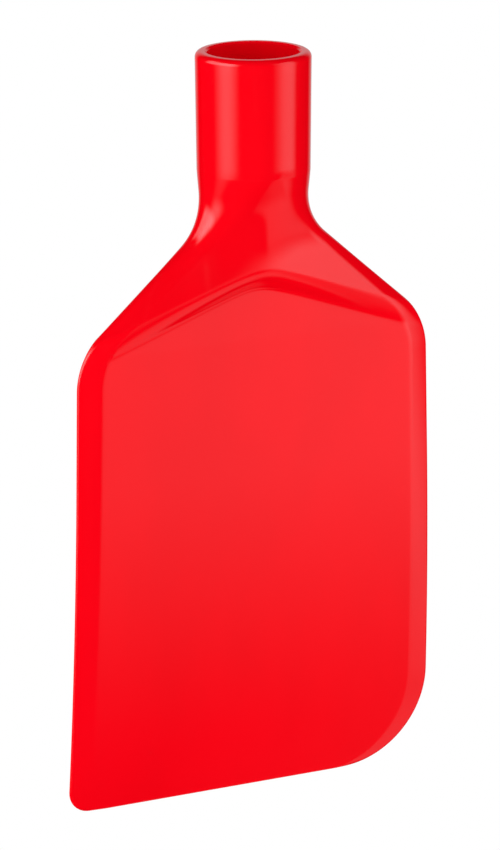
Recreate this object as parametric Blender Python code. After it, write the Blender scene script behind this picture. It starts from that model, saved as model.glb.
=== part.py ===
# Head of a hand-held paddle scraper: a thin flexible blade with two shoulder arms and a hollow round
# socket for a screw-in handle, all in one moulding.
# Metres. The origin is the centre of the socket's mouth, +Z points out of the socket, the blade hangs
# down along -Z and its front faces -Y.

import math

import bmesh
import bpy
import numpy as np

# Outline, seen from the front
LENGTH = 0.2200
SHOULDER_WIDTH = 0.1130
TIP_WIDTH = 0.1180
SHOULDER_DROP = 0.0838
SHOULDER_SLOPE = math.radians(40.8)
SHOULDER_SAG = 0.0002
NECK_FILLET = 0.0193
SHOULDER_RADIUS = 0.0212
TIP_RADIUS_RIGHT = 0.0273
TIP_RADIUS_LEFT = 0.0066

# Socket, outside
SOCKET_RADIUS = 0.0166
SOCKET_DRAFT = math.radians(0.6)
RIM_FILLET = 0.0018

# Socket, inside
MOUTH_WALL = 0.0034
MOUTH_CHAMFER = 0.0006
ENTRY_DEPTH = 0.0090
BORE_RISE = 0.0070
FLOOR_CONE = math.radians(15)
THREAD_INSET = 0.0005
THREAD_DEPTH = 0.0018
THREAD_PITCH = 0.0050
THREAD_ROOT_HALF = 0.0006
THREAD_FLANK = math.radians(30)
THREAD_RUNOUT = 0.0060

# Neck and arms: a keel runs down the middle of the neck, and a step along a roof-shaped line parts the
# keel and the arms from the flat face
TAPER_RISE = 0.0058
WEDGE_LENGTH = 0.0351
KEEL_REACH = 0.0240
KEEL_SOFTNESS = 0.0030
KEEL_END_BLEND = 0.80
ROOF_END_DROP = 0.0042
ROOF_SOFTNESS = 0.0060
STEP_WIDTH = 0.0072
STEP_HEIGHT = 0.0045
STEP_FOOT = 0.2
ARM_END_INSET = 0.0006
ARM_FALL = 1.0
ARM_SLANT = 0.7
SLANT_START = 0.0150
ARM_SPREAD = 0.0280
EDGE_BLEND = 0.0020

# Blade
TOP_THICKNESS = 0.0054
TIP_THICKNESS = 0.0028
EDGE_THICKNESS = 0.0012
BAND_WIDTH = 0.0065
BAND_CROWN = 0.15
BOW = 0.0044
BOW_START = 0.1230

# Fineness of the mesh
RING_STEPS = 60
RIM_STEPS = 5
SOCKET_STEPS = 3
SHOULDER_STEP = 0.0014
BLADE_STEP = 0.0100
TIP_STEPS = 12
ARC_STEPS = 40
BORE_STEPS = 30
CUT_OVERRUN = 0.0010
MERGE_DISTANCE = 0.000001

# Plastic
RED = (0.78, 0.004, 0.010, 1.0)
ROUGHNESS = 0.22


def clamp(value):
    return min(max(value, 0.0), 1.0)


# Goes from 0 to 1 with a level start and a level end
def ease(share):
    share = clamp(share)
    return share * share * (3 - 2 * share)


# A distance from the middle that starts level instead of in a corner
def soft(across, softness):
    return math.hypot(across, softness) - softness


# Height of a quarter round edge at this share of its width
def quarter_round(share):
    return math.sqrt(1 - (1 - clamp(share)) ** 2)


# A path through the corners with each inner one rounded to its radius
def rounded_path(corners, radii):
    points = [np.array(corners[0])]
    for before, corner, after, radius in zip(corners, corners[1:], corners[2:], radii):
        corner = np.array(corner)
        arrive = corner - np.array(before)
        leave = np.array(after) - corner
        arrive /= np.linalg.norm(arrive)
        leave /= np.linalg.norm(leave)
        turn = math.acos(arrive @ leave)
        reach = radius * math.tan(turn / 2)
        inward = leave - arrive
        centre = corner + inward / np.linalg.norm(inward) * math.hypot(reach, radius)
        for angle in np.linspace(-turn / 2, turn / 2, ARC_STEPS + 1):
            along = (arrive + leave) / np.linalg.norm(arrive + leave)
            outward = (corner - centre) / np.linalg.norm(corner - centre)
            points.append(centre + radius * (math.cos(angle) * outward + math.sin(angle) * along))
    points.append(np.array(corners[-1]))
    return points


# Where the socket's outer wall, run on downwards, meets the shoulder line
def neck_corner():
    narrowing = math.tan(SOCKET_DRAFT)
    slope = math.tan(SHOULDER_SLOPE)
    reach = SHOULDER_WIDTH / 2 - SOCKET_RADIUS
    drop = (SHOULDER_DROP - slope * reach) / (1 + slope * narrowing)
    return SOCKET_RADIUS - narrowing * drop, -drop


NECK = neck_corner()


# Half of the outline, from the mouth's rim down to the tip, as points of (distance from the middle, height)
def outline(tip_radius):
    corners = [
        (0.0, 0.0),
        (SOCKET_RADIUS, 0.0),
        NECK,
        (SHOULDER_WIDTH / 2, -SHOULDER_DROP),
        (TIP_WIDTH / 2, -LENGTH),
        (0.0, -LENGTH),
    ]
    radii = [RIM_FILLET, NECK_FILLET, SHOULDER_RADIUS, tip_radius]
    return np.array(rounded_path(corners, radii))


OUTLINES = {1: outline(TIP_RADIUS_RIGHT), -1: outline(TIP_RADIUS_LEFT)}
ARC_POINTS = ARC_STEPS + 1
FLARE_TOP = OUTLINES[1][1 + ARC_POINTS, 1]
SHOULDER_TOP = OUTLINES[1][2 * ARC_POINTS, 1]
SHOULDER_BOTTOM = OUTLINES[1][1 + 2 * ARC_POINTS, 1]
TAPER_TOP = FLARE_TOP + TAPER_RISE
ROOF_APEX = TAPER_TOP - WEDGE_LENGTH
ROOF_END = SHOULDER_WIDTH / 2 - BAND_WIDTH
ROOF_SLOPE = (SHOULDER_DROP + ROOF_END_DROP + ROOF_APEX) / ROOF_END
ARM_END = SHOULDER_WIDTH / 2 - ARM_END_INSET


def half_width(z, side):
    widths, heights = OUTLINES[side][-2:0:-1].T
    along = clamp((z - SHOULDER_BOTTOM) / (SHOULDER_TOP - SHOULDER_BOTTOM))
    return float(np.interp(z, heights, widths)) - SHOULDER_SAG * 4 * along * (1 - along)


# How far a point lies from the nearest part of the outline
def edge_distance(across, z, side):
    starts = OUTLINES[side][:-1]
    runs = OUTLINES[side][1:] - starts
    reach = np.array((across, z)) - starts
    share = np.clip((reach * runs).sum(axis=1) / (runs * runs).sum(axis=1), 0.0, 1.0)
    return float(np.linalg.norm(reach - share[:, None] * runs, axis=1).min())


# Half the blade's thickness where there is neither neck nor arm: level in the middle, with a bevelled
# band along the sides and a round edge
def blade_half(across, z, side, middle, distance):
    edge = EDGE_THICKNESS / 2
    rise = clamp((half_width(z, side) - across) / BAND_WIDTH)
    rise = rise * (1 + BAND_CROWN * (1 - rise))
    return (edge + (middle - edge) * rise) * quarter_round(distance / edge)


# How far up the step a point is: a hollow foot and a round top that meet smoothly
def step_rise(share):
    share = clamp(share)
    if share < STEP_FOOT:
        return share * share / STEP_FOOT
    return 1 - (1 - share) ** 2 / (1 - STEP_FOOT)


# How much of the keel's height is left at this share of the way up the neck
def keel_left(share):
    share = clamp(share)
    half = KEEL_END_BLEND / 2
    left = share - half if share > KEEL_END_BLEND else share * share / (4 * half)
    return left / (1 - half)


# How far the keel and the arms stand above the flat face
def raised(across, z, roof, radius, middle, distance):
    spread = ease((TAPER_TOP - z) / ARM_SPREAD)
    aside = soft(across, KEEL_SOFTNESS)
    left = keel_left(1 - (TAPER_TOP - z) / (WEDGE_LENGTH - STEP_WIDTH))
    keel = (radius - middle - STEP_HEIGHT) * left * max(1 - spread * aside / KEEL_REACH, 0.0)
    out = clamp(aside / soft(ARM_END, KEEL_SOFTNESS))
    past = max(z - roof - STEP_WIDTH, 0.0)
    slant = spread * ARM_SLANT * ease(across / SLANT_START) * past / (past + distance + MERGE_DISTANCE)
    arm = STEP_HEIGHT * (1 - spread * (1 - (1 - out) ** ARM_FALL)) * (1 - slant)
    return (keel + arm) * step_rise((z - roof) / STEP_WIDTH)


# Half the thickness anywhere, from the round socket through the neck and the arms to the blade
def half_thickness(x, z):
    side = 1 if x >= 0 else -1
    across = abs(x)
    radius = half_width(max(z, TAPER_TOP), 1)
    if z >= TAPER_TOP:
        return math.sqrt(max(radius * radius - x * x, 0.0))
    distance = edge_distance(across, z, side)
    share = clamp((-SHOULDER_DROP - z) / (LENGTH - SHOULDER_DROP))
    middle = (TOP_THICKNESS + (TIP_THICKNESS - TOP_THICKNESS) * share) / 2
    plain = blade_half(across, z, side, middle, distance)
    roof = ROOF_APEX - ROOF_SLOPE * soft(across, ROOF_SOFTNESS)
    if z <= roof:
        return plain
    rise = raised(across, z, roof, radius, middle, distance)
    low = plain + rise * quarter_round(distance / (rise + EDGE_THICKNESS / 2))
    full = (middle + rise) * quarter_round(distance / (middle + rise))
    return low + (full - low) * ease(rise / EDGE_BLEND)


# The blade bends back towards its tip
def bend(z):
    return BOW * clamp((-BOW_START - z) / (LENGTH - BOW_START)) ** 2


# Heights of the rings, from the mouth down to the tip
def ring_heights():
    quarter = math.pi / 2
    rim = [RIM_FILLET * (math.cos(a) - 1) for a in np.linspace(0, quarter, RIM_STEPS + 1)]
    socket = np.linspace(-RIM_FILLET, TAPER_TOP, SOCKET_STEPS + 1)
    arms_end = -SHOULDER_DROP - ROOF_END_DROP - BAND_WIDTH
    shoulder_count = round((TAPER_TOP - arms_end) / SHOULDER_STEP)
    shoulder = np.linspace(TAPER_TOP, arms_end, shoulder_count + 1)
    tip_radius = max(TIP_RADIUS_RIGHT, TIP_RADIUS_LEFT)
    blade_count = round((arms_end - tip_radius + LENGTH) / BLADE_STEP)
    blade = np.linspace(arms_end, tip_radius - LENGTH, blade_count + 1)
    turns = np.linspace(quarter, 0, TIP_STEPS + 1)
    tip = [tip_radius * (1 - math.cos(a)) - LENGTH for a in turns]
    return [*rim, *socket[1:], *shoulder[1:], *blade[1:], *tip[1:]]


# One closed ring round the moulding, finer towards its two edges
def add_ring(mesh, z):
    right = half_width(z, 1)
    left = -half_width(z, -1)
    ring = []
    for angle in np.linspace(0, 2 * math.pi, RING_STEPS, endpoint=False):
        x = (right + left) / 2 + (right - left) / 2 * math.cos(angle)
        on_edge = abs(math.sin(angle)) < MERGE_DISTANCE
        depth = 0.0 if on_edge else half_thickness(x, z)
        y = bend(z) - math.copysign(depth, math.sin(angle))
        ring.append(mesh.verts.new((x, y, z)))
    return ring


def new_object(name, mesh):
    data = bpy.data.meshes.new(name)
    bmesh.ops.recalc_face_normals(mesh, faces=mesh.faces)
    mesh.to_mesh(data)
    mesh.free()
    obj = bpy.data.objects.new(name, data)
    bpy.context.scene.collection.objects.link(obj)
    return obj


def make_blade():
    mesh = bmesh.new()
    rings = [add_ring(mesh, z) for z in ring_heights()]
    for upper, lower in zip(rings, rings[1:]):
        for i, start in enumerate(upper):
            after = (i + 1) % RING_STEPS
            mesh.faces.new((start, upper[after], lower[after], lower[i]))
    mesh.faces.new(rings[0])
    bmesh.ops.remove_doubles(mesh, verts=mesh.verts, dist=MERGE_DISTANCE)
    return new_object("paddle_blade", mesh)


def as_cutter(obj):
    obj.hide_render = True
    obj.display_type = "WIRE"
    return obj


MOUTH_RADIUS = SOCKET_RADIUS - MOUTH_WALL
ROOT_RADIUS = MOUTH_RADIUS - THREAD_INSET
CREST_RADIUS = ROOT_RADIUS - THREAD_DEPTH
BORE_DEPTH = -NECK[1] - BORE_RISE


# The bore: a chamfered smooth entry for the handle's collar, then the narrower threaded length.
# Its facets are turned half a step from the thread's, so that no two edges fall together.
def make_bore_cutter():
    flare = MOUTH_CHAMFER + CUT_OVERRUN
    profile = [
        (0.0, CUT_OVERRUN),
        (MOUTH_RADIUS + flare, CUT_OVERRUN),
        (MOUTH_RADIUS, -MOUTH_CHAMFER),
        (MOUTH_RADIUS, -ENTRY_DEPTH),
        (CREST_RADIUS, CREST_RADIUS - MOUTH_RADIUS - ENTRY_DEPTH),
        (CREST_RADIUS, CREST_RADIUS * math.tan(FLOOR_CONE) - BORE_DEPTH),
        (0.0, -BORE_DEPTH),
    ]
    half_step = math.pi / BORE_STEPS
    mesh = bmesh.new()
    points = [mesh.verts.new((r * math.cos(half_step), r * math.sin(half_step), z)) for r, z in profile]
    edges = [mesh.edges.new(pair) for pair in zip(points, points[1:])]
    bmesh.ops.spin(
        mesh, geom=points + edges, cent=(0, 0, 0), axis=(0, 0, 1), angle=2 * math.pi, steps=BORE_STEPS
    )
    bmesh.ops.remove_doubles(mesh, verts=mesh.verts, dist=MERGE_DISTANCE)
    return as_cutter(new_object("bore_cutter", mesh))


# The right-hand thread: one groove that winds down the bore, a trapezium that narrows towards its root
def make_thread_cutter():
    inner = CREST_RADIUS - CUT_OVERRUN / 2
    root_half = THREAD_ROOT_HALF
    inner_half = root_half + (ROOT_RADIUS - inner) * math.tan(THREAD_FLANK)
    top = -ENTRY_DEPTH
    turns = (BORE_DEPTH - ENTRY_DEPTH - THREAD_RUNOUT) / THREAD_PITCH
    steps = max(1, round(turns * BORE_STEPS))
    section = [
        (inner, top + inner_half),
        (ROOT_RADIUS, top + root_half),
        (ROOT_RADIUS, top - root_half),
        (inner, top - inner_half),
    ]
    mesh = bmesh.new()
    start = mesh.faces.new([mesh.verts.new((r, 0.0, z)) for r, z in section])
    bmesh.ops.spin(
        mesh,
        geom=[*start.verts, *start.edges, start],
        cent=(0, 0, 0),
        axis=(0, 0, 1),
        dvec=(0, 0, -THREAD_PITCH / BORE_STEPS),
        angle=-steps * 2 * math.pi / BORE_STEPS,
        steps=steps,
    )
    return as_cutter(new_object("thread_cutter", mesh))


def cut(body, cutter):
    boolean = body.modifiers.new(cutter.name, "BOOLEAN")
    boolean.operation = "DIFFERENCE"
    boolean.solver = "EXACT"
    boolean.object = cutter


def make_plastic():
    plastic = bpy.data.materials.new("red_plastic")
    plastic.use_nodes = True
    shader = plastic.node_tree.nodes["Principled BSDF"]
    shader.inputs["Base Color"].default_value = RED
    shader.inputs["Roughness"].default_value = ROUGHNESS
    shader.inputs["Metallic"].default_value = 0.0
    return plastic


def main():
    for obj in list(bpy.data.objects):
        bpy.data.objects.remove(obj)
    body = make_blade()
    body.data.materials.append(make_plastic())
    body.data.shade_smooth()
    body.data.set_sharp_from_angle(angle=math.radians(40))
    cut(body, make_bore_cutter())
    cut(body, make_thread_cutter())


main()
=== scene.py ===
import math

import bpy
from mathutils import Matrix, Vector, kdtree


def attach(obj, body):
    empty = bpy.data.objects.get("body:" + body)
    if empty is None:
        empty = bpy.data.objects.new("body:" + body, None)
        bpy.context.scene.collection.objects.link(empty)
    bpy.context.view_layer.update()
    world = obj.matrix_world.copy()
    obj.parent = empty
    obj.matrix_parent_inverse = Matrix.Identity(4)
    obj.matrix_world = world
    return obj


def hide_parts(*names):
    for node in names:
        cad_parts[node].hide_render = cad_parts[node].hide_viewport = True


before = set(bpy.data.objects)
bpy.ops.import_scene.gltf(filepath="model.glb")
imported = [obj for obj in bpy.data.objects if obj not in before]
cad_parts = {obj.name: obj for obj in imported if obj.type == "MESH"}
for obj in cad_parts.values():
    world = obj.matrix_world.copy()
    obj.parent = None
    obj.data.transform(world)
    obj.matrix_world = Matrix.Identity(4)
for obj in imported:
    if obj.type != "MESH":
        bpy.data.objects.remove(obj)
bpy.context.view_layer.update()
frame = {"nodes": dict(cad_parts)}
print("frame loaded:", ", ".join(frame["nodes"]))

# Metres throughout. The middle of the socket's mouth is the origin, the blade hangs down along -Z
# and its front faces -Y.

cameraPlace = {
    "distance": 1.510,       # from the point that it aims at
    "turn": 27.753,          # degrees, from straight in front towards -X
    "lift": 15.136,          # degrees above level
    "roll": -0.221,          # degrees
    "focalPixels": 5236.9,
    "imageHeight": 850,
    "sensor": 36,            # millimetres, along the longer side of the frame
    "aimAcross": -0.00129,
    "aimHeight": -0.10985,
}


def link(item):
    bpy.context.scene.collection.objects.link(item)
    return item


def makeCamera(place):
    turn, lift, roll = (math.radians(place[name]) for name in ("turn", "lift", "roll"))
    towards = Vector((-math.sin(turn) * math.cos(lift), -math.cos(turn) * math.cos(lift), math.sin(lift)))
    right = Vector((math.cos(turn), -math.sin(turn), 0))
    up = towards.cross(right)
    rolledRight = math.cos(roll) * right + math.sin(roll) * up
    rolledUp = math.cos(roll) * up - math.sin(roll) * right
    aim = right * place["aimAcross"] + Vector((0, 0, place["aimHeight"]))
    camera = link(bpy.data.objects.new("camera", bpy.data.cameras.new("camera")))
    camera.data.sensor_width = place["sensor"]
    camera.data.lens = place["focalPixels"] * place["sensor"] / place["imageHeight"]
    facing = Matrix((rolledRight, rolledUp, towards)).transposed().to_4x4()
    camera.matrix_world = Matrix.Translation(aim + towards * place["distance"]) @ facing
    bpy.context.scene.camera = camera
    return Vector((-math.sin(turn), -math.cos(turn), 0)), right


cameraSide, cameraRight = makeCamera(cameraPlace)    # level directions towards the camera and to its right
print("camera placed")

headShape = {
    "length": 0.2200,
    "shoulderWidth": 0.1130,
    "tipWidth": 0.1180,
    "shoulderDrop": 0.0838,                   # from the mouth to where the shoulder line would meet the side
    "shoulderSlope": math.radians(40.8),
    "shoulderSag": 0.0002,
    "neckFillet": 0.0193,
    "shoulderRadius": 0.0212,
    "tipRadiusRight": 0.0273,
    "tipRadiusLeft": 0.0066,
    "socketRadius": 0.0166,
    "socketDraft": math.radians(0.6),
    "rimFillet": 0.0018,
    "taperRise": 0.0058,                      # the neck starts to thin this far above its flare
    "wedgeLength": 0.0351,
    "keelReach": 0.0240,                      # how far the neck's keel reaches to each side
    "keelSoftness": 0.0030,
    "keelEndBlend": 0.80,
    "roofEndDrop": 0.0042,                    # the roof line is where the flat face ends at its top
    "roofSoftness": 0.0060,
    "stepWidth": 0.0072,                      # a step rises from the roof line to the keel and the arms
    "stepHeight": 0.0045,
    "stepFoot": 0.2,
    "armEndInset": 0.0006,
    "armFall": 1.0,
    "armSlant": 0.7,
    "slantStart": 0.0150,
    "armSpread": 0.0280,
    "edgeBlend": 0.0020,
    "topThickness": 0.0054,
    "tipThickness": 0.0028,
    "edgeThickness": 0.0012,
    "bandWidth": 0.0065,                      # the bevel along the sides
    "bandCrown": 0.15,
    "bow": 0.0044,
    "bowStart": 0.1230,
    "smoothAngle": 35,                        # degrees, past which an edge stays sharp
    "outlineStep": 0.001,
    "arcSteps": 90,
    "ringPoints": 224,
    "levels": 300,                            # cut in two rounds, so it stays a multiple of 3
    "rimLevels": 9,
    "socketLevels": 12,
    "armLevels": 155,
    "bladeLevels": 64,
}


def clamp(value):
    return min(max(value, 0.0), 1.0)


def ease(share):
    share = clamp(share)
    return share * share * (3 - 2 * share)


def soft(across, softness):    # a distance that starts level, instead of in a corner at the middle
    return math.hypot(across, softness) - softness


def quarterRound(share):
    return math.sqrt(1 - (1 - clamp(share)) ** 2)


def roundedPath(corners, radii, steps):
    points = [Vector(corners[0])]
    for before, corner, after, radius in zip(corners, corners[1:], corners[2:], radii):
        corner = Vector(corner)
        arrive = (corner - Vector(before)).normalized()
        leave = (Vector(after) - corner).normalized()
        turn = math.acos(arrive.dot(leave))
        centre = corner + (leave - arrive).normalized() * math.hypot(radius * math.tan(turn / 2), radius)
        outward = (corner - centre).normalized()
        along = (arrive + leave).normalized()
        for i in range(steps + 1):
            angle = turn * (i / steps - 0.5)
            points.append(centre + radius * (math.cos(angle) * outward + math.sin(angle) * along))
    points.append(Vector(corners[-1]))
    return points


def cutShort(path, step):    # the same line with points no further apart than a step
    points = [path[0]]
    for start, end in zip(path, path[1:]):
        pieces = max(1, math.ceil((end - start).length / step))
        points += [start.lerp(end, i / pieces) for i in range(1, pieces + 1)]
    return points


def pointFinder(points):
    finder = kdtree.KDTree(len(points))
    for i, point in enumerate(points):
        finder.insert((point.x, point.y, 0), i)
    finder.balance()
    return finder


def outlineOf(shape):    # both halves of the outline and the heights that follow from it
    slope = math.tan(shape["shoulderSlope"])
    narrowing = math.tan(shape["socketDraft"])
    reach = shape["shoulderWidth"] / 2 - shape["socketRadius"]
    neckDrop = (shape["shoulderDrop"] - slope * reach) / (1 + slope * narrowing)
    lines = {"side": {}, "edge": {}, "finder": {}}
    for side, tipRadius in ((1, shape["tipRadiusRight"]), (-1, shape["tipRadiusLeft"])):
        corners = [
            (0, 0),
            (shape["socketRadius"], 0),
            (shape["socketRadius"] - narrowing * neckDrop, -neckDrop),
            (shape["shoulderWidth"] / 2, -shape["shoulderDrop"]),
            (shape["tipWidth"] / 2, -shape["length"]),
            (0, -shape["length"]),
        ]
        radii = [shape["rimFillet"], shape["neckFillet"], shape["shoulderRadius"], tipRadius]
        path = roundedPath(corners, radii, shape["arcSteps"])
        lines["side"][side] = path[1:-1]
        lines["edge"][side] = cutShort(path, shape["outlineStep"])
        lines["finder"][side] = pointFinder(lines["edge"][side])
    arc = shape["arcSteps"] + 1
    lines["taperTop"] = lines["side"][1][arc].y + shape["taperRise"]
    lines["shoulderTop"] = lines["side"][1][2 * arc - 1].y
    lines["shoulderBottom"] = lines["side"][1][2 * arc].y
    lines["roofApex"] = lines["taperTop"] - shape["wedgeLength"]
    roofEnd = shape["shoulderWidth"] / 2 - shape["bandWidth"]
    lines["roofSlope"] = (shape["shoulderDrop"] + shape["roofEndDrop"] + lines["roofApex"]) / roofEnd
    lines["armEnd"] = shape["shoulderWidth"] / 2 - shape["armEndInset"]
    return lines


outline = outlineOf(headShape)


def halfWidth(z, side):
    path = outline["side"][side]
    low, high = 0, len(path) - 1
    while high - low > 1:
        middle = (low + high) // 2
        if path[middle].y > z:
            low = middle
        else:
            high = middle
    drop = path[low].y - path[high].y
    share = clamp((path[low].y - z) / drop) if drop > 0 else 0
    width = path[low].x + (path[high].x - path[low].x) * share
    along = clamp((z - outline["shoulderBottom"]) / (outline["shoulderTop"] - outline["shoulderBottom"]))
    return width - headShape["shoulderSag"] * 4 * along * (1 - along)


def edgeDistance(across, z, side):
    line = outline["edge"][side]
    place = Vector((across, z))
    nearest = outline["finder"][side].find((across, z, 0))[1]
    best = math.inf
    for i in (nearest - 1, nearest):
        if 0 <= i < len(line) - 1:
            run = line[i + 1] - line[i]
            share = clamp((place - line[i]).dot(run) / run.dot(run))
            best = min(best, (place - line[i] - share * run).length)
    return best


def bladeHalf(across, z, side, middle, distance):    # level, with a bevelled band and a round edge
    edge = headShape["edgeThickness"] / 2
    rise = clamp((halfWidth(z, side) - across) / headShape["bandWidth"])
    rise = rise * (1 + headShape["bandCrown"] * (1 - rise))
    return (edge + (middle - edge) * rise) * quarterRound(distance / edge)


def stepRise(share):    # a hollow foot and a round top that meet smoothly
    share, foot = clamp(share), headShape["stepFoot"]
    return share * share / foot if share < foot else 1 - (1 - share) ** 2 / (1 - foot)


def keelLeft(share):    # how much of the keel's height is left on its way down the neck
    share, half = clamp(share), headShape["keelEndBlend"] / 2
    return (share - half if share > 2 * half else share * share / (4 * half)) / (1 - half)


# how far the keel and the arms stand above the flat face
def raised(across, z, roof, radius, middle, distance):
    shape = headShape
    down = outline["taperTop"] - z
    spread = ease(down / shape["armSpread"])
    aside = soft(across, shape["keelSoftness"])
    left = keelLeft(1 - down / (shape["wedgeLength"] - shape["stepWidth"]))
    keel = (radius - middle - shape["stepHeight"]) * left * max(1 - spread * aside / shape["keelReach"], 0)
    out = clamp(aside / soft(outline["armEnd"], shape["keelSoftness"]))
    past = max(z - roof - shape["stepWidth"], 0)
    nearEdge = past / (past + distance + 0.000001)    # the last term keeps it from dividing by nought
    slant = spread * shape["armSlant"] * ease(across / shape["slantStart"]) * nearEdge
    arm = shape["stepHeight"] * (1 - spread * (1 - (1 - out) ** shape["armFall"])) * (1 - slant)
    return (keel + arm) * stepRise((z - roof) / shape["stepWidth"])


def halfThickness(x, z):
    side = 1 if x >= 0 else -1
    across = abs(x)
    radius = halfWidth(max(z, outline["taperTop"]), 1)
    if z >= outline["taperTop"]:
        return math.sqrt(max(radius * radius - x * x, 0.0))
    distance = edgeDistance(across, z, side)
    share = clamp((-headShape["shoulderDrop"] - z) / (headShape["length"] - headShape["shoulderDrop"]))
    middle = (headShape["topThickness"] + (headShape["tipThickness"] - headShape["topThickness"]) * share) / 2
    plain = bladeHalf(across, z, side, middle, distance)
    roof = outline["roofApex"] - outline["roofSlope"] * soft(across, headShape["roofSoftness"])
    if z <= roof:
        return plain
    rise = raised(across, z, roof, radius, middle, distance)
    low = plain + rise * quarterRound(distance / (rise + headShape["edgeThickness"] / 2))
    full = (middle + rise) * quarterRound(distance / (middle + rise))
    return low + (full - low) * ease(rise / headShape["edgeBlend"])


def bend(z):    # the blade leans back towards its tip
    share = clamp((-headShape["bowStart"] - z) / (headShape["length"] - headShape["bowStart"]))
    return headShape["bow"] * share ** 2


def spaced(start, end, count):
    return [start + (end - start) * i / count for i in range(1, count + 1)]


def levelHeights(shape):    # from the mouth down to the tip, closer where the shape turns
    fillet, length = shape["rimFillet"], shape["length"]
    tip = max(shape["tipRadiusRight"], shape["tipRadiusLeft"])
    armsEnd = -shape["shoulderDrop"] - shape["roofEndDrop"] - shape["bandWidth"]
    quarter = math.pi / 2
    rimLevels = shape["rimLevels"]
    heights = [fillet * (math.cos(quarter * i / rimLevels) - 1) for i in range(rimLevels + 1)]
    heights += spaced(-fillet, outline["taperTop"], shape["socketLevels"])
    heights += spaced(outline["taperTop"], armsEnd, shape["armLevels"])
    heights += spaced(armsEnd, tip - length, shape["bladeLevels"])
    tipLevels = shape["levels"] + 1 - len(heights)
    for i in range(1, tipLevels + 1):
        heights.append(tip * (1 - math.cos(quarter * (1 - i / tipLevels))) - length)
    return heights


meshTolerance = {
    "merge": 0.000001,    # points closer than this become one
    "level": 0.00001,     # heights closer than this are the same level
}


def deselectAll():
    bpy.ops.object.select_all(action="DESELECT")


def startEditing(piece, select="NONE"):
    deselectAll()
    bpy.context.view_layer.objects.active = piece
    piece.select_set(True)
    bpy.ops.object.mode_set(mode="EDIT")
    bpy.ops.mesh.select_mode(type="FACE")
    bpy.ops.mesh.select_all(action="SELECT" if select == "ALL" else "DESELECT")


def selectFaces(piece, wanted):
    bpy.ops.mesh.select_all(action="DESELECT")
    bpy.ops.object.mode_set(mode="OBJECT")
    for face in piece.data.polygons:
        face.select = wanted(face)
    bpy.ops.object.mode_set(mode="EDIT")


def stopEditing():
    bpy.ops.object.mode_set(mode="OBJECT")


def named(name):
    piece = bpy.context.active_object
    piece.name = name
    piece.data.name = name
    return piece


def applyModifier(piece, kind, **settings):
    bpy.context.view_layer.objects.active = piece
    modifier = piece.modifiers.new(kind.lower(), kind)
    for name, value in settings.items():
        setattr(modifier, name, value)
    bpy.ops.object.modifier_apply(modifier=modifier.name)


def mergePoints(piece):
    startEditing(piece, "ALL")
    bpy.ops.mesh.remove_doubles(threshold=meshTolerance["merge"])
    bpy.ops.mesh.normals_make_consistent(inside=False)
    stopEditing()


def cleanUp(piece, smoothAngle):
    mergePoints(piece)
    bpy.ops.object.shade_smooth_by_angle(angle=math.radians(smoothAngle))


def makeBlank(shape):    # a round bar with as many cuts as the head has levels
    deselectAll()
    bpy.ops.mesh.primitive_cylinder_add(
        vertices=shape["ringPoints"], radius=shape["socketRadius"], depth=shape["length"],
        location=(0, 0, -shape["length"] / 2))
    blank = named("paddleHead")
    bpy.ops.object.transform_apply(location=True, rotation=True, scale=True)
    for cuts in (2, shape["levels"] // 3 - 1):    # thirds first, because one round of cuts has a limit
        startEditing(blank)
        bpy.ops.mesh.select_mode(type="EDGE")
        stopEditing()
        for edge in blank.data.edges:
            first, second = (blank.data.vertices[i].co for i in edge.vertices)
            edge.select = abs(first.z - second.z) > meshTolerance["level"]
        bpy.ops.object.mode_set(mode="EDIT")
        bpy.ops.mesh.subdivide(number_cuts=cuts)
        stopEditing()
    return blank


def shapeHead(blank, shape):    # every point of the bar goes to its place on the moulding
    heights = levelHeights(shape)
    for vertex in blank.data.vertices:
        level = round(-vertex.co.z / shape["length"] * shape["levels"])
        angle = math.atan2(vertex.co.y, vertex.co.x)
        z = heights[level]
        right, left = halfWidth(z, 1), -halfWidth(z, -1)
        x = (right + left) / 2 + (right - left) / 2 * math.cos(angle)
        onEdge = abs(math.sin(angle)) < 0.0001
        depth = 0 if onEdge else halfThickness(x, z)
        vertex.co = (x, bend(z) + math.copysign(depth, math.sin(angle)), z)


socketBore = {
    "mouthRadius": 0.0132,
    "chamfer": 0.0006,
    "entryDepth": 0.0090,
    "rootRadius": 0.0127,
    "crestRadius": 0.0109,
    "pitch": 0.0050,
    "rootHalf": 0.0006,
    "flank": math.radians(30),
    "runout": 0.0060,
    "depth": 0.0420,
    "floorCone": math.radians(15),
    "stepsPerTurn": 96,
    "cutOverrun": 0.0005,    # the thread's cutter starts this far inside the bore
}


def openBore(head, bore, shape):
    startEditing(head)
    selectFaces(head, lambda face: face.center.z > -meshTolerance["level"] and len(face.vertices) > 4)
    rimRadius = shape["socketRadius"] - shape["rimFillet"]
    bpy.ops.mesh.inset(thickness=rimRadius - bore["mouthRadius"] - bore["chamfer"])
    radius, depth = bore["mouthRadius"] + bore["chamfer"], 0
    floorRise = bore["crestRadius"] * math.tan(bore["floorCone"])
    shoulder = bore["entryDepth"] + bore["mouthRadius"] - bore["crestRadius"]
    for nextRadius, nextDepth in (
        (bore["mouthRadius"], bore["chamfer"]),
        (bore["mouthRadius"], bore["entryDepth"]),
        (bore["crestRadius"], shoulder),
        (bore["crestRadius"], bore["depth"] - floorRise),
    ):
        bpy.ops.mesh.extrude_region_move(TRANSFORM_OT_translate={"value": (0, 0, depth - nextDepth)})
        bpy.ops.transform.resize(value=(nextRadius / radius, nextRadius / radius, 1))
        radius, depth = nextRadius, nextDepth
    bpy.ops.mesh.poke(offset=-floorRise)
    stopEditing()


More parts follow.
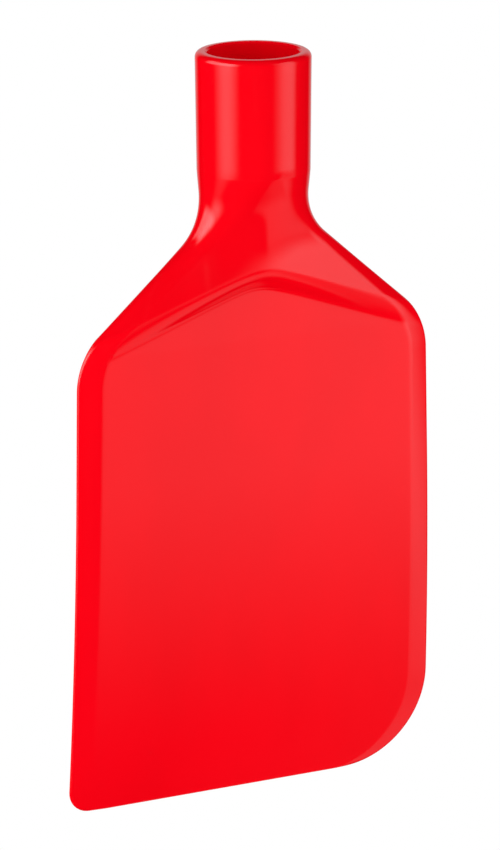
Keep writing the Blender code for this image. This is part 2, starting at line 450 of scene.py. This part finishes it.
def makeThreadCutter(bore):    # one trapezium groove that winds down the bore, right-handed
    inner = bore["crestRadius"] - bore["cutOverrun"]
    innerHalf = bore["rootHalf"] + (bore["rootRadius"] - inner) * math.tan(bore["flank"])
    top = -bore["entryDepth"]
    turns = (bore["depth"] - bore["entryDepth"] - bore["runout"]) / bore["pitch"]
    deselectAll()
    bpy.ops.mesh.primitive_plane_add(size=0.001)
    cutter = named("threadCutter")
    section = [
        (inner, top + innerHalf),
        (bore["rootRadius"], top + bore["rootHalf"]),
        (bore["rootRadius"], top - bore["rootHalf"]),
        (inner, top - innerHalf),
    ]
    for i, (radius, z) in zip(cutter.data.polygons[0].vertices, section):
        cutter.data.vertices[i].co = (radius, 0, z)
    steps = round(turns * bore["stepsPerTurn"])
    applyModifier(
        cutter, "SCREW", axis="Z", angle=-turns * 2 * math.pi, screw_offset=-turns * bore["pitch"],
        steps=steps, render_steps=steps, use_merge_vertices=False)
    startEditing(cutter, "ALL")
    bpy.ops.mesh.fill_holes(sides=4)
    stopEditing()
    mergePoints(cutter)
    return cutter


def makeHead(shape, bore):
    head = makeBlank(shape)
    shapeHead(head, shape)
    startEditing(head)
    selectFaces(head, lambda face: len(face.vertices) > 4 and face.center.z < -shape["length"] / 2)
    bpy.ops.mesh.delete(type="ONLY_FACE")
    stopEditing()
    openBore(head, bore, shape)
    cleanUp(head, shape["smoothAngle"])
    cutter = makeThreadCutter(bore)
    applyModifier(head, "BOOLEAN", operation="DIFFERENCE", solver="EXACT", object=cutter)
    bpy.data.objects.remove(cutter)
    cleanUp(head, shape["smoothAngle"])
    return head


paddleHead = makeHead(headShape, socketBore)
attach(paddleHead, "root")
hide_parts("paddle_blade")
print("head made:", len(paddleHead.data.polygons), "faces")


class Wire:    # one output of a node, so that shader maths can be written as sums
    def __init__(self, tree, output=None):
        self.tree = tree
        self.output = output

    def node(self, kind, settings=None, values=None, output=0):
        made = self.tree.nodes.new(kind)
        for name, value in (settings or {}).items():
            setattr(made, name, value)
        for name, value in (values or {}).items():
            if isinstance(value, Wire):
                self.tree.links.new(value.output, made.inputs[name])
            else:
                made.inputs[name].default_value = value
        return Wire(self.tree, None if output is None else made.outputs[output])

    def maths(self, operation, first, second=0.0):
        return self.node("ShaderNodeMath", {"operation": operation}, {0: first, 1: second})

    def __add__(self, other):
        return self.maths("ADD", self, other)

    def __radd__(self, other):
        return self.maths("ADD", other, self)

    def __sub__(self, other):
        return self.maths("SUBTRACT", self, other)

    def __rsub__(self, other):
        return self.maths("SUBTRACT", other, self)

    def __mul__(self, other):
        return self.maths("MULTIPLY", self, other)

    def __rmul__(self, other):
        return self.maths("MULTIPLY", other, self)

    def ramp(self, low, high):    # 0 at low and 1 at high, smooth between them
        return self.node(
            "ShaderNodeMapRange", {"interpolation_type": "SMOOTHSTEP"},
            {"Value": self, "From Min": low, "From Max": high})


def startMaterial(name):
    material = bpy.data.materials.new(name)
    material.use_nodes = True
    return material, Wire(material.node_tree), material.node_tree.nodes["Principled BSDF"]


plasticLook = {
    "red": (0.88, 0.0001, 0.0060, 1),
    "deepRed": (0.83, 0.0001, 0.0053, 1),
    "flowScale": 26,              # soft streaks from the moulding, per metre
    "flowDetail": 3.0,
    "flowStretch": (1, 1, 0.45),
    "flowRamp": (0.3, 0.7),
    "roughness": 0.06,
    "roughnessSpread": 0.02,
    "mottleScale": 130,
    "mottleDetail": 4.0,
    "peelScale": 620,             # the faint unevenness of a moulded gloss
    "peelDetail": 2.0,
    "peelStrength": 0.10,
    "peelHeight": 0.00002,
    "speckScale": 260,            # small dull specks in some of the cells of a pattern
    "speckShare": 0.05,
    "speckRamp": (0.06, 0.14),
    "speckRoughness": 0.15,
    "speckHeight": 0.6,
    "scratchScale": 60,           # fine scratches, in patches
    "scratchDetail": 1.0,
    "scratchStretch": (1, 1, 0.07),
    "scratchWidth": 0.004,
    "scratchPatchScale": 18,
    "scratchPatchRamp": (0.52, 0.66),
    "scratchRoughness": 0.12,
    "scratchDepth": 0.5,
}


def makePlastic(look):
    material, wire, shader = startMaterial("redPlastic")
    place = wire.node("ShaderNodeTexCoord", output="Object")

    def noise(scale, detail, stretch=(1, 1, 1)):
        spot = wire.node("ShaderNodeMapping", {}, {"Vector": place, "Scale": stretch})
        return wire.node("ShaderNodeTexNoise", {}, {"Vector": spot, "Scale": scale, "Detail": detail})

    flow = noise(look["flowScale"], look["flowDetail"], look["flowStretch"]).ramp(*look["flowRamp"])
    cells = {"Vector": place, "Scale": look["speckScale"]}
    cell = wire.node("ShaderNodeTexVoronoi", {}, cells, output="Position")
    chosen = wire.node("ShaderNodeTexWhiteNoise", {}, {"Vector": cell}).ramp(1 - look["speckShare"], 1)
    speck = (1 - wire.node("ShaderNodeTexVoronoi", {}, cells).ramp(*look["speckRamp"])) * chosen
    wave = noise(look["scratchScale"], look["scratchDetail"], look["scratchStretch"]) - 0.5
    line = 1 - wire.maths("ABSOLUTE", wave).ramp(0.0, look["scratchWidth"])
    scratch = line * noise(look["scratchPatchScale"], look["scratchDetail"]).ramp(*look["scratchPatchRamp"])
    colour = wire.node(
        "ShaderNodeMix", {"data_type": "RGBA"},
        {"Factor": flow, "A": look["red"], "B": look["deepRed"]}, output="Result")
    dull = noise(look["mottleScale"], look["mottleDetail"])
    roughness = look["roughness"] + look["roughnessSpread"] * (dull - 0.5)
    roughness = roughness + look["speckRoughness"] * speck + look["scratchRoughness"] * scratch
    height = noise(look["peelScale"], look["peelDetail"])
    height = height + look["speckHeight"] * speck - look["scratchDepth"] * scratch
    bump = wire.node(
        "ShaderNodeBump", {},
        {"Height": height, "Strength": look["peelStrength"], "Distance": look["peelHeight"]})
    for name, value in (("Base Color", colour), ("Roughness", roughness), ("Normal", bump)):
        material.node_tree.links.new(value.output, shader.inputs[name])
    return material


paddleHead.data.materials.append(makePlastic(plasticLook))
print("plastic made")

studioLights = {    # upright panels round the object; the angle is from the camera's side towards its right
    "left": {"angle": -55, "height": 0.15, "distance": 1.2, "width": 0.7, "tall": 1.4, "watts": 5.0},
    "right": {"angle": 74, "height": 0.15, "distance": 1.2, "width": 0.7, "tall": 1.4, "watts": 3.5},
}


def addSoftbox(name, place):    # an upright panel, turned to face the object
    angle = math.radians(place["angle"])
    middle = (math.cos(angle) * cameraSide + math.sin(angle) * cameraRight) * place["distance"]
    lamp = bpy.data.lights.new(name, "AREA")
    lamp.shape = "RECTANGLE"
    lamp.size = place["width"]
    lamp.size_y = place["tall"]
    lamp.energy = place["watts"]
    softbox = link(bpy.data.objects.new(name, lamp))
    softbox.location = middle + Vector((0, 0, place["height"]))
    softbox.rotation_euler = middle.to_track_quat("Z", "Y").to_euler()
    softbox.visible_camera = False
    softbox.visible_glossy = False    # what a gloss mirrors comes from the surroundings below


for name, place in studioLights.items():
    addSoftbox(name + "Softbox", place)

surroundings = {
    "fill": 0.90,              # what a matt surface gets from all round
    "fillBias": 0.35,          # more of it comes from this side
    "fillAngle": -30,
    "fillDrop": 0.40,          # and less of it comes from above
    "backGlow": 0.55,          # what a gloss mirrors from the pale backdrop behind the object
    "back": (0.72, 0.98),
    "leftGlow": 1.75,          # from the soft light to the left of the camera, between these angles
    "leftRise": (-88, -56),
    "leftFall": (-52, -24),
    "coreGlow": 2.5,           # which has a brighter and wider upper half
    "coreRise": (-112, -94),
    "coreFall": (-50, -22),
    "coreFoot": (-0.12, 0.10),
    "rightGlow": 1.4,          # from the one to its right
    "rightRise": (36, 70),
    "rightFall": (80, 99),
    "foot": (-0.48, -0.16),    # both fade between these sines of the height
    "head": (0.50, 0.68),
    "tableGlow": 0.45,         # from the pale table under the right one
    "tableRise": (56, 68),
    "tableEnd": (-0.25, 0.0),
    "tableHead": (-0.55, -0.20),
    "tableFoot": (-0.90, -0.78),
}


def makeWorld(look):
    world = bpy.data.worlds.new("studio")
    bpy.context.scene.world = world
    world.use_nodes = True
    # its light is found by the rays alone, so mirrored and matt light stay apart
    world.cycles.sampling_method = "NONE"
    world.node_tree.nodes.clear()
    wire = Wire(world.node_tree)
    direction = wire.node("ShaderNodeTexCoord", output="Generated")

    def along(axis):
        return wire.node(
            "ShaderNodeVectorMath", {"operation": "DOT_PRODUCT"}, {0: direction, 1: axis}, output="Value")

    def between(rise, fall):    # 1 between two angles, with soft ends
        return angle.ramp(*look[rise]) * (1 - angle.ramp(*look[fall]))

    front, right, height = along(cameraSide), along(cameraRight), along((0, 0, 1))
    angle = wire.maths("ARCTAN2", right, front) * math.degrees(1)
    below = 1 - height.ramp(*look["head"])
    back = (-1 * front).ramp(*look["back"]) * below
    leftLight = between("leftRise", "leftFall")
    rightLight = between("rightRise", "rightFall")
    lights = (look["leftGlow"] * leftLight + look["rightGlow"] * rightLight) * height.ramp(*look["foot"])
    core = between("coreRise", "coreFall") * height.ramp(*look["coreFoot"])
    table = angle.ramp(*look["tableRise"]) * front.ramp(*look["tableEnd"])
    table = table * (1 - height.ramp(*look["tableHead"])) * height.ramp(*look["tableFoot"])
    gloss = look["backGlow"] * back + (lights + look["coreGlow"] * core) * below
    gloss = gloss + look["tableGlow"] * table
    fillAngle = math.radians(look["fillAngle"])
    aside = math.cos(fillAngle) * front + math.sin(fillAngle) * right
    fill = look["fill"] * (1 + look["fillBias"] * aside - look["fillDrop"] * height)
    isGlossy = wire.node("ShaderNodeLightPath", output="Is Glossy Ray")
    isCamera = wire.node("ShaderNodeLightPath", output="Is Camera Ray")
    lit = fill + (gloss - fill) * isGlossy
    strength = lit + (1 - lit) * isCamera
    glow = wire.node("ShaderNodeBackground", {}, {"Color": (1, 1, 1, 1), "Strength": strength})
    wire.node("ShaderNodeOutputWorld", {}, {"Surface": glow}, output=None)


makeWorld(surroundings)
print("lights and surroundings made")

floorShape = {
    "radius": 0.90,
    "height": -0.80,
    "sides": 96,
    "fade": (0.25, 0.98),      # shares of the radius between which the floor fades away
    "colour": (0.72, 0.72, 0.72, 1),
    "roughness": 0.9,
    "glow": 0.30,
}


def makeFloor(shape):
    deselectAll()
    bpy.ops.mesh.primitive_circle_add(
        vertices=shape["sides"], radius=shape["radius"], fill_type="NGON", location=(0, 0, shape["height"]))
    floor = named("floor")
    bpy.ops.object.transform_apply(location=True, rotation=True, scale=True)
    material, wire, shader = startMaterial("paleFloor")
    shader.inputs["Base Color"].default_value = shape["colour"]
    shader.inputs["Roughness"].default_value = shape["roughness"]
    place = wire.node("ShaderNodeTexCoord", output="Object")
    flat = wire.node(
        "ShaderNodeVectorMath", {"operation": "MULTIPLY"}, {0: place, 1: (1, 1, 0)}, output="Vector")
    out = wire.node("ShaderNodeVectorMath", {"operation": "LENGTH"}, {0: flat}, output="Value")
    fade = out.ramp(*(shape["radius"] * share for share in shape["fade"]))
    isCamera = wire.node("ShaderNodeLightPath", output="Is Camera Ray")
    white = wire.node("ShaderNodeEmission", {}, {"Color": (1, 1, 1, 1), "Strength": 1.0}, output="Emission")
    clear = wire.node("ShaderNodeBsdfTransparent", output="BSDF")
    base = Wire(material.node_tree, shader.outputs["BSDF"])
    whitened = wire.node(
        "ShaderNodeMixShader", {}, {"Fac": shape["glow"] * isCamera, 1: base, 2: white}, output="Shader")
    mixed = wire.node("ShaderNodeMixShader", {}, {"Fac": fade, 1: whitened, 2: clear}, output="Shader")
    ending = next(node for node in material.node_tree.nodes if node.type == "OUTPUT_MATERIAL")
    material.node_tree.links.new(mixed.output, ending.inputs["Surface"])
    floor.data.materials.append(material)
    floor.visible_glossy = False    # the table that a gloss mirrors is in the surroundings above
    return floor


makeFloor(floorShape)
print("floor made")

bpy.context.scene.view_settings.view_transform = "Standard"
